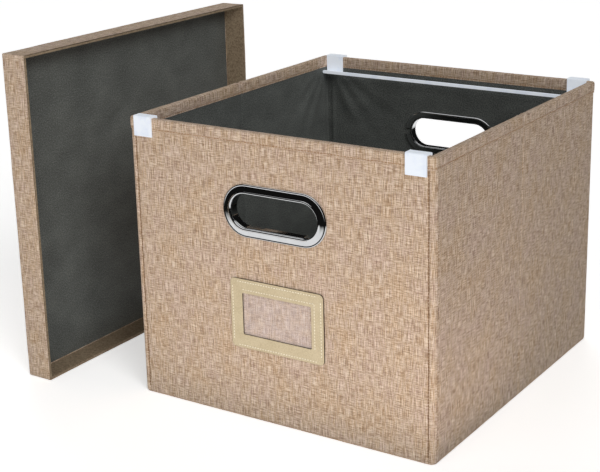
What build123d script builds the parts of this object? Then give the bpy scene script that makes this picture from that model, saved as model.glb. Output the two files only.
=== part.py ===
"""Collapsible linen filing bin: lidded, with grip holes and two hanging-file rails.

The bin stands on the origin, front wall towards -Y, and its lift-off lid stands on
edge beside it. Every wall is a stiff board between linen and a soft lining. The side
walls are split down the middle and stop short of the corners, so they fold inwards.
"""
import os

from build123d import *

os.makedirs("parts", exist_ok=True)

# bin, overall
WIDTH = 318.0  # outside, across the front wall
DEPTH = 338.0  # outside, front to back
HEIGHT = 274.0  # floor to the top of the wall boards' cloth

# wall make-up, outside to inside
CLOTH = 1.0
BOARD = 3.2
LINING = 0.8
WALL = CLOTH + BOARD + LINING
BIND = 0.7  # thickness of the linen band sewn over the rim
BIND_DROP = 10.0  # how far the band reaches down each face
CORNER = WALL  # radius of the soft upright corners
FLOOR_CLOTH = 0.8
FOLD_BOTTOM = 5.5  # lower edge of the walls that fold over the base insert
RUN = 0.3  # clearance between pieces that move against each other

# hanging-file rails
STRIP = 1.5  # hook strip thickness
HOOK_WIDTH = 20.0
HOOK_SIDE_GAP = 0.8  # hook edge to the band sewn inside the corner
HOOK_DROP = 19.0  # hook and bar depth below the hook's top
HOOK_SLACK = 0.4  # play between the hook and each face of the rim
BAR_HEIGHT = 3.4
BAR_THICK = 2.5
BAR_REACH = 12.0  # far face of the bar from the wall's inner face
BAR_END_GAP = 1.5  # bar end to the side wall's inner face

# folding side walls
PIVOT_GAP = BAR_REACH + 2.0  # soft strip left between a fixed wall and a folding half
CREASE = 1.5  # each half stops this far from the middle crease

# grip holes and their metal rings
GRIP_Z = 202.0
GRIP_W, GRIP_H = 91.0, 31.0  # clear opening
SLEEVE = 1.2
RING_W, RING_H = 110.0, 50.0
RING_RISE = 3.4
CLIP_W, CLIP_H = 106.0, 46.0
CLIP_RISE = 2.6
CLIP_SPLIT = 6.0  # gap between the upper and lower clip

# label holder
LABEL_W, LABEL_H = 100.0, 67.0
LABEL_Z = 103.5
LABEL_THICK = 1.8
WINDOW_W, WINDOW_H = 74.0, 40.0
LABEL_CORNER, WINDOW_CORNER = 4.5, 1.2
FILM = 0.4
FILM_LAP = 4.0  # film tucked under the frame all round

# base insert, short enough to lift out between the rails
BASE_THICK = 3.6
BASE_COVER = 0.6
BASE_SIDE_GAP = 2.0
BASE_RAIL_GAP = 2.0

# lid
LID_DEPTH = 29.0
LID_CLOTH = 0.8
LID_RIM_BOARD = 2.0
LID_TURN_IN = 0.7
LID_PANEL_BOARD = 2.5
LID_FIT = 0.6  # play between lid and bin, each side
LID_GAP = 97.0  # floor between the bin's side and the lid's open face
LID_FORWARD = 31.0  # how far the lid's edge stands in front of the bin

HALF_W = WIDTH / 2
HALF_D = DEPTH / 2
IN_W = HALF_W - WALL
IN_D = HALF_D - WALL
RIM_TOP = HEIGHT + BIND
HOOK_TOP = RIM_TOP + RUN + STRIP
HOOK_LOW = HOOK_TOP - HOOK_DROP
PIVOT_Y = IN_D - PIVOT_GAP
LID_WALL = LID_CLOTH + LID_RIM_BOARD + LID_TURN_IN
LID_IN_Y = 2 * (HALF_D + BIND + HOOK_SLACK + STRIP + LID_FIT)
LID_IN_Z = WIDTH + 2 * (BIND + LID_FIT)
LID_Y, LID_Z = LID_IN_Y + 2 * LID_WALL, LID_IN_Z + 2 * LID_WALL
LID_X = -HALF_W - LID_GAP - LID_DEPTH
LID_MID = (LID_Y / 2 - HALF_D - LID_FORWARD, LID_Z / 2)

nodes = {}


def keep(name, node):
    """Label one finished piece and remember it for export."""
    node.label = name
    nodes[name] = node


def slab(x, y, z):
    """Return a block between (low, high) limits on the three axes."""
    with BuildPart() as block:
        with BuildSketch(Plane.XY.offset(z[0])):
            with Locations(((x[0] + x[1]) / 2, (y[0] + y[1]) / 2)):
                Rectangle(x[1] - x[0], y[1] - y[0])
        extrude(amount=z[1] - z[0])
    return block.part


def front_plane(inward):
    """Return the plane this far behind the front wall's outer face, facing out."""
    return Plane.XZ.offset(HALF_D - inward)


def front_layer(inward, thick):
    """Return one layer of the front wall with the grip hole cut through it."""
    with BuildPart() as layer:
        with BuildSketch(front_plane(inward + thick)):
            with Locations((0, (HEIGHT + FLOOR_CLOTH) / 2)):
                Rectangle(2 * (HALF_W - CORNER), HEIGHT - FLOOR_CLOTH)
            with Locations((0, GRIP_Z)):
                SlotOverall(GRIP_W + 2 * (SLEEVE + RUN), GRIP_H + 2 * (SLEEVE + RUN),
                            mode=Mode.SUBTRACT)
        extrude(amount=thick)
    return layer.part


def rim_band(x, y):
    """Return the linen band that straddles a wall whose limits are x and y."""
    along_x = x[1] - x[0] > y[1] - y[0]
    grow = (0, BIND) if along_x else (BIND, 0)
    low = HEIGHT - BIND_DROP
    with BuildPart() as band:
        add(slab((x[0] - grow[0], x[1] + grow[0]), (y[0] - grow[1], y[1] + grow[1]),
                 (low, RIM_TOP)))
        add(slab(x, y, (low, HEIGHT)), mode=Mode.SUBTRACT)
    return band.part


def front_wall():
    """Build the front wall's four layers, then the back wall as their mirror."""
    layers = {"outer_cloth": front_layer(0, CLOTH),
              "board": front_layer(CLOTH, BOARD),
              "lining": front_layer(CLOTH + BOARD, LINING),
              "binding": rim_band((CORNER - HALF_W, HALF_W - CORNER), (-HALF_D, -IN_D))}
    raised = slab((-WIDTH, WIDTH), (-DEPTH, DEPTH), (FOLD_BOTTOM, 2 * HEIGHT))
    for layer, solid in layers.items():
        keep(f"front_{layer}", solid)
        with BuildPart() as rear:
            mirror(solid, about=Plane.XZ)
            add(raised, mode=Mode.INTERSECT)
        keep(f"back_{layer}", rear.part)


def side_walls():
    """Build the front left half wall, then its three mirror images."""
    y = (-PIVOT_Y, -CREASE)
    z = (FOLD_BOTTOM, HEIGHT)
    layers = {"outer_cloth": slab((-HALF_W, CLOTH - HALF_W), y, z),
              "board": slab((CLOTH - HALF_W, -IN_W - LINING), y, z),
              "lining": slab((-IN_W - LINING, -IN_W), y, z),
              "binding": rim_band((-HALF_W, -IN_W), y)}
    for layer, solid in layers.items():
        keep(f"left_front_{layer}", solid)
        with BuildPart() as left_rear:
            mirror(solid, about=Plane.XZ)
        keep(f"left_rear_{layer}", left_rear.part)
        for end, half in (("front", solid), ("rear", left_rear.part)):
            with BuildPart() as right:
                mirror(half, about=Plane.YZ)
            keep(f"right_{end}_{layer}", right.part)


def soft_corner():
    """Build the soft corner strips and the two crease strips between the halves."""
    y_end = -PIVOT_Y - RUN
    with BuildPart() as strip:
        for low, high, grow in ((FOLD_BOTTOM, HEIGHT, 0), (HEIGHT - BIND_DROP, RIM_TOP, BIND)):
            with BuildSketch(Plane.XY.offset(low)):
                with Locations((-IN_W, -IN_D)):
                    Circle(CORNER + grow)
                with Locations((-IN_W, -IN_D - WIDTH / 2)):
                    Rectangle(WIDTH, WIDTH, align=(Align.MIN, Align.CENTER),
                              mode=Mode.SUBTRACT)
                with Locations((-IN_W, -IN_D)):
                    Rectangle(WIDTH, WIDTH, align=(Align.CENTER, Align.MIN),
                              mode=Mode.SUBTRACT)
                with Locations((-HALF_W - grow, -IN_D)):
                    Rectangle(WALL + grow, y_end + IN_D, align=Align.MIN)
                if grow:
                    with Locations((-IN_W, -IN_D + grow)):
                        Rectangle(grow, y_end + IN_D - grow, align=Align.MIN)
            extrude(amount=high - low)
    keep("corner_front_left", strip.part)
    with BuildPart() as rear:
        mirror(strip.part, about=Plane.XZ)
    keep("corner_rear_left", rear.part)
    crease = CREASE - RUN
    with BuildPart() as fold:
        add(slab((-HALF_W, -IN_W), (-crease, crease), (FOLD_BOTTOM, RIM_TOP)))
    keep("crease_left", fold.part)
    for name in ("corner_front", "corner_rear", "crease"):
        with BuildPart() as right:
            mirror(nodes[f"{name}_left"], about=Plane.YZ)
        keep(f"{name}_right", right.part)


def grip_ring():
    """Return the outer grip ring: a domed oval bead with a sleeve through the wall."""
    with BuildPart() as ring:
        with BuildSketch(front_plane(0)):
            with Locations((0, GRIP_Z)):
                SlotOverall(RING_W, RING_H)
        extrude(amount=RING_RISE)
        with BuildSketch(front_plane(0)):
            with Locations((0, GRIP_Z)):
                SlotOverall(GRIP_W + 2 * SLEEVE, GRIP_H + 2 * SLEEVE)
        extrude(amount=-WALL - 2)
        with BuildSketch(front_plane(WALL + 2)):
            with Locations((0, GRIP_Z)):
                SlotOverall(GRIP_W, GRIP_H)
        extrude(amount=WALL + 2 + RING_RISE, mode=Mode.SUBTRACT)
        crown = ring.faces().sort_by(Axis.Y)[0]
        fillet(crown.outer_wire().edges(), radius=RING_RISE - 0.4)
        crown = ring.faces().filter_by(GeomType.PLANE).sort_by(Axis.Y)[0]
        fillet(crown.inner_wires()[0].edges(), radius=RING_RISE - 0.8)
    return ring.part


def grip_clip(upper):
    """Return one C-shaped clip that locks the sleeve on the lining side."""
    with BuildPart() as clip:
        with BuildSketch(front_plane(WALL)):
            with Locations((0, GRIP_Z)):
                SlotOverall(CLIP_W, CLIP_H)
                SlotOverall(GRIP_W + 2 * (SLEEVE + RUN), GRIP_H + 2 * (SLEEVE + RUN),
                            mode=Mode.SUBTRACT)
        extrude(amount=-CLIP_RISE)
        crown = clip.faces().filter_by(GeomType.PLANE).sort_by(Axis.Y)[-1]
        fillet(crown.outer_wire().edges(), radius=CLIP_RISE - 0.4)
        low = GRIP_Z + CLIP_SPLIT / 2 if upper else GRIP_Z - CLIP_H
        high = GRIP_Z + CLIP_H if upper else GRIP_Z - CLIP_SPLIT / 2
        add(slab((-CLIP_W, CLIP_W), (-DEPTH, 0), (low, high)), mode=Mode.INTERSECT)
    return clip.part


def grips():
    """Build the front grip fittings and mirror them for the back wall."""
    fittings = {"ring": grip_ring(), "clip_upper": grip_clip(True),
                "clip_lower": grip_clip(False)}
    for name, solid in fittings.items():
        keep(f"front_grip_{name}", solid)
        with BuildPart() as rear:
            mirror(solid, about=Plane.XZ)
        keep(f"back_grip_{name}", rear.part)


def label_holder():
    """Build the stitched label frame and the clear film tucked behind it."""
    with BuildPart() as frame:
        with BuildSketch(front_plane(0)):
            with Locations((0, LABEL_Z)):
                RectangleRounded(LABEL_W, LABEL_H, LABEL_CORNER)
                RectangleRounded(WINDOW_W, WINDOW_H, WINDOW_CORNER, mode=Mode.SUBTRACT)
        extrude(amount=LABEL_THICK)
        crown = frame.faces().sort_by(Axis.Y)[0]
        fillet(crown.edges(), radius=0.5)
        with BuildSketch(front_plane(0)):
            with Locations((0, LABEL_Z)):
                Rectangle(WINDOW_W + 2 * FILM_LAP, WINDOW_H + 2 * FILM_LAP)
        extrude(amount=FILM, mode=Mode.SUBTRACT)
    keep("label_frame", frame.part)
    with BuildPart() as film:
        with BuildSketch(front_plane(0)):
            with Locations((0, LABEL_Z)):
                Rectangle(WINDOW_W + 2 * FILM_LAP - 0.2, WINDOW_H + 2 * FILM_LAP - 0.2)
        extrude(amount=FILM)
    keep("label_film", film.part)


def rail_hook(x_low):
    """Return one strip hook over the front rim with the shelf that carries the bar."""
    outer = -HALF_D - BIND - HOOK_SLACK
    inner = -IN_D + BIND + HOOK_SLACK
    shelf = -IN_D + BAR_REACH - BAR_THICK
    with BuildPart() as hook:
        with BuildSketch(Plane.YZ.offset(x_low)):
            with BuildLine():
                Polyline((outer - STRIP, HOOK_LOW), (outer - STRIP, HOOK_TOP),
                         (inner + STRIP, HOOK_TOP), (inner + STRIP, HOOK_LOW + STRIP),
                         (shelf, HOOK_LOW + STRIP), (shelf, HOOK_LOW), (inner, HOOK_LOW),
                         (inner, HOOK_TOP - STRIP), (outer, HOOK_TOP - STRIP),
                         (outer, HOOK_LOW), close=True)
            make_face()
        extrude(amount=HOOK_WIDTH)
        top = hook.faces().sort_by(Axis.Z)[-1].edges().filter_by(Axis.X)
        fillet(top, radius=STRIP - 0.3)
    return hook.part


def rails():
    """Build the front rail's bar and two hooks, then the rear rail as their mirror."""
    x_low = HOOK_SIDE_GAP + BIND - IN_W
    with BuildPart() as bar:
        length = 2 * (IN_W - BAR_END_GAP)
        with BuildSketch(Plane.XZ.offset(IN_D - BAR_REACH)):
            with Locations((0, HOOK_LOW + BAR_HEIGHT / 2)):
                RectangleRounded(length, BAR_HEIGHT, BAR_HEIGHT / 2 - 0.3)
        extrude(amount=BAR_THICK)
        fillet(bar.edges().filter_by(Axis.X), radius=0.5)
    with BuildPart() as right:
        mirror(rail_hook(x_low), about=Plane.YZ)
    pieces = {"bar": bar.part, "hook_left": rail_hook(x_low), "hook_right": right.part}
    for name, solid in pieces.items():
        keep(f"front_rail_{name}", solid)
        with BuildPart() as rear:
            mirror(solid, about=Plane.XZ)
        keep(f"rear_rail_{name}", rear.part)


def base():
    """Build the floor cloth, its hem, and the loose base insert with its cover."""
    with BuildPart() as floor:
        with BuildSketch(Plane.XY):
            RectangleRounded(WIDTH, DEPTH, CORNER)
        extrude(amount=FLOOR_CLOTH)
    keep("floor_cloth", floor.part)
    with BuildPart() as hem:
        with BuildSketch(Plane.XY.offset(FLOOR_CLOTH)):
            RectangleRounded(WIDTH, DEPTH, CORNER)
            RectangleRounded(WIDTH - 2 * CLOTH, DEPTH - 2 * CLOTH, CORNER - CLOTH,
                             mode=Mode.SUBTRACT)
            with Locations((0, -HALF_D)):
                Rectangle(2 * (HALF_W - CORNER), 4 * CLOTH, mode=Mode.SUBTRACT)
        extrude(amount=FOLD_BOTTOM - RUN - FLOOR_CLOTH)
    keep("bottom_hem", hem.part)
    size_x = 2 * (IN_W - BASE_SIDE_GAP)
    size_y = 2 * (IN_D - BAR_REACH - BASE_RAIL_GAP)
    with BuildPart() as board:
        with BuildSketch(Plane.XY.offset(FLOOR_CLOTH + RUN + BASE_COVER)):
            RectangleRounded(size_x - 2 * BASE_COVER, size_y - 2 * BASE_COVER, 5)
        extrude(amount=BASE_THICK - 2 * BASE_COVER)
    keep("base_board", board.part)
    with BuildPart() as cover:
        with BuildSketch(Plane.XY.offset(FLOOR_CLOTH + RUN)):
            RectangleRounded(size_x, size_y, 5 + BASE_COVER)
        extrude(amount=BASE_THICK)
        add(board.part, mode=Mode.SUBTRACT)
    keep("base_cover", cover.part)


def lid_block(x, y_size, z_size):
    """Return a block of the standing lid, centred on it, between two x limits."""
    with BuildPart() as block:
        with BuildSketch(Plane.YZ.offset(LID_X + x[0])):
            with Locations(LID_MID):
                Rectangle(y_size, z_size)
        extrude(amount=x[1] - x[0])
    return block.part


def lid():
    """Build the lid on edge: panel board, four rim boards, linen skin and lining."""
    floor_x = LID_CLOTH + LID_PANEL_BOARD
    rim_x = (floor_x, LID_DEPTH - LID_CLOTH)
    skin = 2 * LID_CLOTH
    panel = lid_block((LID_CLOTH, floor_x), LID_Y - skin, LID_Z - skin)
    keep("lid_panel_board", panel)
    keep("lid_lining", lid_block((floor_x, floor_x + LINING), LID_IN_Y, LID_IN_Z))
    with BuildPart() as cloth:
        add(lid_block((0, LID_DEPTH), LID_Y, LID_Z))
        add(lid_block((floor_x, LID_DEPTH), LID_IN_Y, LID_IN_Z), mode=Mode.SUBTRACT)
        add(panel, mode=Mode.SUBTRACT)
        reach_y = LID_Y / 2 - LID_CLOTH - LID_RIM_BOARD / 2
        reach_z = LID_Z / 2 - LID_CLOTH - LID_RIM_BOARD / 2
        edges = {"front": (-reach_y, 0, LID_RIM_BOARD, LID_Z - skin),
                 "rear": (reach_y, 0, LID_RIM_BOARD, LID_Z - skin),
                 "lower": (0, -reach_z, LID_Y - skin - 2 * LID_RIM_BOARD, LID_RIM_BOARD),
                 "upper": (0, reach_z, LID_Y - skin - 2 * LID_RIM_BOARD, LID_RIM_BOARD)}
        for edge, (dy, dz, y_size, z_size) in edges.items():
            strip = lid_block(rim_x, y_size, z_size).moved(Location((0, dy, dz)))
            keep(f"lid_rim_board_{edge}", strip)
            add(strip, mode=Mode.SUBTRACT)
    keep("lid_cloth", cloth.part)


front_wall()
side_walls()
soft_corner()
grips()
label_holder()
rails()
base()
lid()
for name, node in nodes.items():
    export_step(node, f"parts/{name}.step")
print(len(nodes), "pieces")
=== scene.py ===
"""Collapsible linen filing bin with its tray lid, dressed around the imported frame.

Lengths are metres in the frame's axes: the bin stands on the origin, front wall towards
-Y, and its lid stands on edge beside it. Every wall is a stiff board between a linen
skin and a grey lining. Cloth is cut flat on a grid, measured along the wall and up it,
and then wrapped round the walls, so its weave follows it.
"""

import logging
import math
from dataclasses import dataclass, field
from enum import Enum
from itertools import pairwise
from typing import Callable, Iterable, Sequence

import bmesh
import bpy
from mathutils import Matrix, Vector, noise


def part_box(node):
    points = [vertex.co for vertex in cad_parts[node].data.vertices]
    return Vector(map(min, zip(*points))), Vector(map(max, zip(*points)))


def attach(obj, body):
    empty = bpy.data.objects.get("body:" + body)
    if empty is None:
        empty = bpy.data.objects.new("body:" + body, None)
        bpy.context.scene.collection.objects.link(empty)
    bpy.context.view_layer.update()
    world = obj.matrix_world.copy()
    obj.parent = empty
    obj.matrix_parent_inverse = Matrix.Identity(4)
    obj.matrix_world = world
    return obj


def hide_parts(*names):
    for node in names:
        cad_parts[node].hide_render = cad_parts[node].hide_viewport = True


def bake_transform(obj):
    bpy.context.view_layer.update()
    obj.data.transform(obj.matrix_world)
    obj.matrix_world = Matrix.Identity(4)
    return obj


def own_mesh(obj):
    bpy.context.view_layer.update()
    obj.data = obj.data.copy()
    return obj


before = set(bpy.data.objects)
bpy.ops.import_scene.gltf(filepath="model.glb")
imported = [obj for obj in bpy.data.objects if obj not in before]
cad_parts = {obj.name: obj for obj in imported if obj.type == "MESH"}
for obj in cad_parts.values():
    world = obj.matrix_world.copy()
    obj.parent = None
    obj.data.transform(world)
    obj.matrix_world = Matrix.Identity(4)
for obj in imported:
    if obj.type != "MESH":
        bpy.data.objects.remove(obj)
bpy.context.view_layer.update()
LOG = logging.getLogger("filing_bin")

MM = 0.001
CLOTH_UV = "cloth"


class Slot(str, Enum):
    """Material slots of the record."""

    LINEN = "linen"
    LINING = "lining_cloth"
    BOARD = "chipboard"
    CHROME = "polished_chrome"
    STEEL = "white_steel"
    LEATHERETTE = "leatherette"
    FILM = "clear_film"


class Side(Enum):
    """Which way a wall's cloth faces."""

    OUT = 1
    IN = -1


# ---------------------------------------------------------------- small tools


def linear(code: str) -> tuple[float, float, float, float]:
    """Turn an sRGB hex colour into linear light.

    Args:
        code: six hex digits after a hash.

    Returns:
        Linear red, green, blue and full alpha.
    """
    values = [int(code[i:i + 2], 16) / 255 for i in (1, 3, 5)]
    red, green, blue = [v / 12.92 if v <= 0.04045 else ((v + 0.055) / 1.055) ** 2.4
                        for v in values]
    return red, green, blue, 1.0


def smooth(low: float, high: float, value: float) -> float:
    """Return 0 below low, 1 above high and an eased share between them."""
    share = min(max((value - low) / (high - low), 0.0), 1.0)
    return share * share * (3 - 2 * share)


def hump(distance: float, width: float) -> float:
    """Return a bell that is 1 at no distance and falls away over width."""
    return math.exp(-((distance / width) ** 2))


def ripple(u: float, v: float, long_u: float, long_v: float, seed: float) -> float:
    """Return slow cloth noise from about -1 to 1.

    Args:
        u, v: place on the cloth in metres.
        long_u, long_v: length of one ripple each way in metres.
        seed: picks one pattern.
    """
    return noise.noise(Vector((u / long_u, v / long_v, seed)))


def steps(low: float, high: float, pitch: float) -> list[float]:
    """Return even stations from low to high, about one pitch apart."""
    count = max(1, round((high - low) / pitch))
    return [low + (high - low) * i / count for i in range(count + 1)]


def merged(values: Iterable[float], near: float) -> list[float]:
    """Return sorted stations with those closer than near dropped."""
    kept: list[float] = []
    for value in sorted(values):
        if not kept or value - kept[-1] > near:
            kept.append(value)
    return kept


def curve_through(points: Sequence[tuple[float, float]], parts: int) -> list[Vector]:
    """Return points along a smooth line through the given ones.

    Args:
        points: the line's own points.
        parts: how many spans each gap is divided into.

    Returns:
        The denser line, as 2-D vectors, with both end points kept.
    """
    line = [Vector(p) for p in points]
    line = [2 * line[0] - line[1], *line, 2 * line[-1] - line[-2]]
    dense = [line[1]]
    for a, b, c, d in zip(line, line[1:], line[2:], line[3:]):
        for i in range(1, parts + 1):
            t = i / parts
            dense.append(0.5 * (2 * b + (c - a) * t + (2 * a - 5 * b + 4 * c - d) * t * t
                                + (3 * b - a - 3 * c + d) * t ** 3))
    return dense


# ------------------------------------------------------------------ finishes


Links = dict[str | int, object]
Stops = Sequence[tuple[float, str]]


def feed(tree: bpy.types.NodeTree, node: bpy.types.Node, links: Links) -> None:
    """Set or connect a node's inputs.

    Args:
        tree: the node's tree.
        node: the node.
        links: what each input gets, by name or place: a number, a colour, a socket, or a
            node whose first output is meant.
    """
    for socket, value in links.items():
        if isinstance(value, bpy.types.Node):
            value = value.outputs[0]
        if isinstance(value, bpy.types.NodeSocket):
            tree.links.new(value, node.inputs[socket])
        else:
            node.inputs[socket].default_value = value


def add_node(tree: bpy.types.NodeTree, kind: str, settings: dict[str, object] | None = None,
             links: Links | None = None, stops: Stops = ()) -> bpy.types.Node:
    """Add one shader node.

    Args:
        tree: the material's or world's node tree.
        kind: the node's type without its ShaderNode prefix.
        settings: properties of the node.
        links: what each input gets, as in feed.
        stops: a colour ramp's places from 0 to 1 with their hex colours.

    Returns:
        The node.
    """
    made = tree.nodes.new("ShaderNode" + kind)
    for name, value in (settings or {}).items():
        setattr(made, name, value)
    feed(tree, made, links or {})
    if stops:
        marks = made.color_ramp.elements
        while len(marks) < len(stops):
            marks.new(0.5)
        for mark, (place, code) in zip(marks, stops):
            mark.position, mark.color = place, linear(code)
    return made


@dataclass(frozen=True)
class Finish:
    """A material that is made once and put on every piece that asks for it."""

    name: str

    def material(self) -> bpy.types.Material:
        """Return the material, making it the first time."""
        found = bpy.data.materials.get(self.name)
        if found:
            return found
        made = bpy.data.materials.new(self.name)
        made.use_nodes = True
        tree = made.node_tree
        tree.nodes.clear()
        shader = add_node(tree, "BsdfPrincipled")
        add_node(tree, "OutputMaterial", {}, {"Surface": shader})
        self.paint(tree, shader)
        return made

    def paint(self, tree: bpy.types.NodeTree, shader: bpy.types.Node) -> None:
        """Add the finish's own nodes to the shader."""
        raise NotImplementedError

    def dress(self, obj: bpy.types.Object) -> bpy.types.Object:
        """Put the finish on every slot of a piece and return the piece."""
        if not obj.material_slots:
            obj.data.materials.append(self.material())
        for slot in obj.material_slots:
            slot.material = self.material()
        return obj

    @staticmethod
    def on_cloth(tree: bpy.types.NodeTree, size_u: float, size_v: float,
                 shift: float = 0.0) -> bpy.types.Node:
        """Return cloth coordinates in which one unit is size_u by size_v metres."""
        uv = add_node(tree, "UVMap", {"uv_map": CLOTH_UV})
        return add_node(tree, "Mapping", {}, {
            "Vector": uv, "Location": (shift, shift, 0.0),
            "Scale": (1 / size_u, 1 / size_v, 1.0)})

    @staticmethod
    def on_solid(tree: bpy.types.NodeTree, size: float) -> bpy.types.Node:
        """Return object coordinates in which one unit is size metres."""
        place = add_node(tree, "TexCoord")
        return add_node(tree, "Mapping", {}, {
            "Vector": place.outputs["Object"], "Scale": (1 / size,) * 3})


@dataclass(frozen=True)
class SlubLinen(Finish):
    """Linen-look polyester, plain woven from uneven slub yarn, matt.

    The uneven yarns give short bright and dark flecks along both threads, more of them
    upright, over slow patches where the cloth turns pinker or more straw coloured.
    """

    name: str = "slub_linen_woven"
    dark: str = "#6E543E"
    mid: str = "#C5AB92"
    pale: str = "#F6E9D8"
    straw: str = "#C8A47C"
    rose: str = "#C9AB9F"
    # such yarn is typically near 0.45 mm apart; drawn coarser so that it shows
    thread: float = 0.6 * MM
    slub: float = 12 * MM
    patch: float = 26 * MM

    def paint(self, tree: bpy.types.NodeTree, shader: bpy.types.Node) -> None:
        """Add yarn flecks, patches and a woven surface."""
        warp = add_node(tree, "TexNoise", {}, {
            "Vector": self.on_cloth(tree, self.thread, self.slub),
            "Scale": 1.0, "Detail": 2.5, "Roughness": 0.6})
        weft = add_node(tree, "TexNoise", {}, {
            "Vector": self.on_cloth(tree, self.slub * 0.8, self.thread, 7.3),
            "Scale": 1.0, "Detail": 2.5, "Roughness": 0.6})
        speck = add_node(tree, "TexNoise", {}, {
            "Vector": self.on_cloth(tree, self.thread, self.thread * 1.2, 3.1),
            "Scale": 1.0, "Detail": 1.0, "Roughness": 0.5})
        thick = add_node(tree, "TexNoise", {}, {
            "Vector": self.on_cloth(tree, self.thread * 2.6, self.slub * 1.2, 5.9),
            "Scale": 1.0, "Detail": 2.0, "Roughness": 0.5})
        yarn = add_node(tree, "Math", {"operation": "MULTIPLY"}, {0: weft, 1: 0.48})
        for threads, share in ((warp, 0.52), (speck, 0.14), (thick, 0.1)):
            yarn = add_node(tree, "Math", {"operation": "MULTIPLY_ADD"},
                            {0: threads, 1: share, 2: yarn})
        fleck = add_node(tree, "ValToRGB", {}, {"Fac": yarn}, (
            (0.53, self.dark), (0.62, self.mid), (0.71, self.pale)))
        slow = add_node(tree, "TexNoise", {}, {
            "Vector": self.on_cloth(tree, self.patch, self.patch * 1.5, 1.7),
            "Scale": 1.0, "Detail": 3.0, "Roughness": 0.5})
        quick = add_node(tree, "TexNoise", {}, {
            "Vector": self.on_cloth(tree, self.thread * 2, self.slub, 11.9),
            "Scale": 1.0, "Detail": 1.0, "Roughness": 0.5})
        dye = add_node(tree, "Math", {"operation": "MULTIPLY"}, {0: slow, 1: 0.5})
        dye = add_node(tree, "Math", {"operation": "MULTIPLY_ADD"},
                       {0: quick, 1: 0.5, 2: dye})
        tint = add_node(tree, "ValToRGB", {}, {"Fac": dye}, (
            (0.4, self.straw), (0.5, self.mid), (0.6, self.rose)))
        colour = add_node(tree, "Mix", {"data_type": "RGBA"}, {0: 0.35, 6: fleck, 7: tint})
        check = add_node(tree, "TexChecker", {}, {
            "Vector": self.on_cloth(tree, self.thread * 0.5, self.thread * 0.5),
            "Scale": 1.0})
        height = add_node(tree, "Math", {"operation": "MULTIPLY_ADD"}, {
            0: check.outputs["Fac"], 1: 0.25, 2: yarn})
        bump = add_node(tree, "Bump", {}, {
            "Strength": 0.5, "Distance": 0.35 * MM, "Height": height})
        rough = add_node(tree, "MapRange", {}, {
            "Value": yarn, "From Min": 0.48, "From Max": 0.78, "To Min": 0.97,
            "To Max": 0.8})
        feed(tree, shader, {
            "Base Color": colour.outputs[2], "Roughness": rough, "Normal": bump,
            "Sheen Weight": 0.08, "Sheen Roughness": 0.6, "Specular IOR Level": 0.25})


@dataclass(frozen=True)
class FeltLining(Finish):
    """Non-woven polypropylene lining, heat bonded, charcoal grey.

    Bonded fibres give a fine mottle, a slight dull sheen and shallow soft wrinkles.
    """

    name: str = "nonwoven_polypropylene_bonded"
    dark: str = "#434543"
    mid: str = "#5E615E"
    pale: str = "#7B7E7A"
    fibre: float = 1.3 * MM
    fold: float = 34 * MM

    def paint(self, tree: bpy.types.NodeTree, shader: bpy.types.Node) -> None:
        """Add mottled fibres, worn patches and shallow wrinkles."""
        fibre = add_node(tree, "TexNoise", {}, {
            "Vector": self.on_cloth(tree, self.fibre, self.fibre),
            "Scale": 1.0, "Detail": 3.0, "Roughness": 0.65})
        slow = add_node(tree, "TexNoise", {}, {
            "Vector": self.on_cloth(tree, self.fold, self.fold * 0.8, 4.4),
            "Scale": 1.0, "Detail": 3.0, "Roughness": 0.5})
        mix = add_node(tree, "Math", {"operation": "MULTIPLY"}, {0: slow, 1: 0.2})
        mix = add_node(tree, "Math", {"operation": "MULTIPLY_ADD"},
                       {0: fibre, 1: 0.8, 2: mix})
        colour = add_node(tree, "ValToRGB", {}, {"Fac": mix}, (
            (0.36, self.dark), (0.5, self.mid), (0.66, self.pale)))
        coarse = add_node(tree, "Bump", {}, {
            "Strength": 0.8, "Distance": 2.4 * MM, "Height": slow})
        fine = add_node(tree, "Bump", {}, {
            "Strength": 0.4, "Distance": 0.15 * MM, "Height": fibre, "Normal": coarse})
        rough = add_node(tree, "MapRange", {}, {"Value": fibre, "To Min": 0.62,
                                                "To Max": 0.86})
        feed(tree, shader, {"Base Color": colour, "Roughness": rough, "Normal": fine,
                            "Sheen Weight": 0.05, "Specular IOR Level": 0.35})


@dataclass(frozen=True)
class Chrome(Finish):
    """Pressed steel, nickel-chrome plated and polished: a mirror with faint haze."""

    name: str = "steel_chrome_plated"
    tone: str = "#D9DADB"
    dull: str = "#CFD0D2"
    haze: float = 14 * MM

    def paint(self, tree: bpy.types.NodeTree, shader: bpy.types.Node) -> None:
        """Add handling haze to the mirror."""
        smear = add_node(tree, "TexNoise", {}, {
            "Vector": self.on_solid(tree, self.haze),
            "Scale": 1.0, "Detail": 4.0, "Roughness": 0.5})
        rough = add_node(tree, "MapRange", {}, {
            "Value": smear, "From Min": 0.35, "From Max": 0.7, "To Min": 0.035,
            "To Max": 0.11})
        tone = add_node(tree, "ValToRGB", {}, {"Fac": smear}, (
            (0.3, self.tone), (0.75, self.dull)))
        feed(tree, shader, {"Base Color": tone, "Roughness": rough, "Metallic": 1.0})


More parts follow.
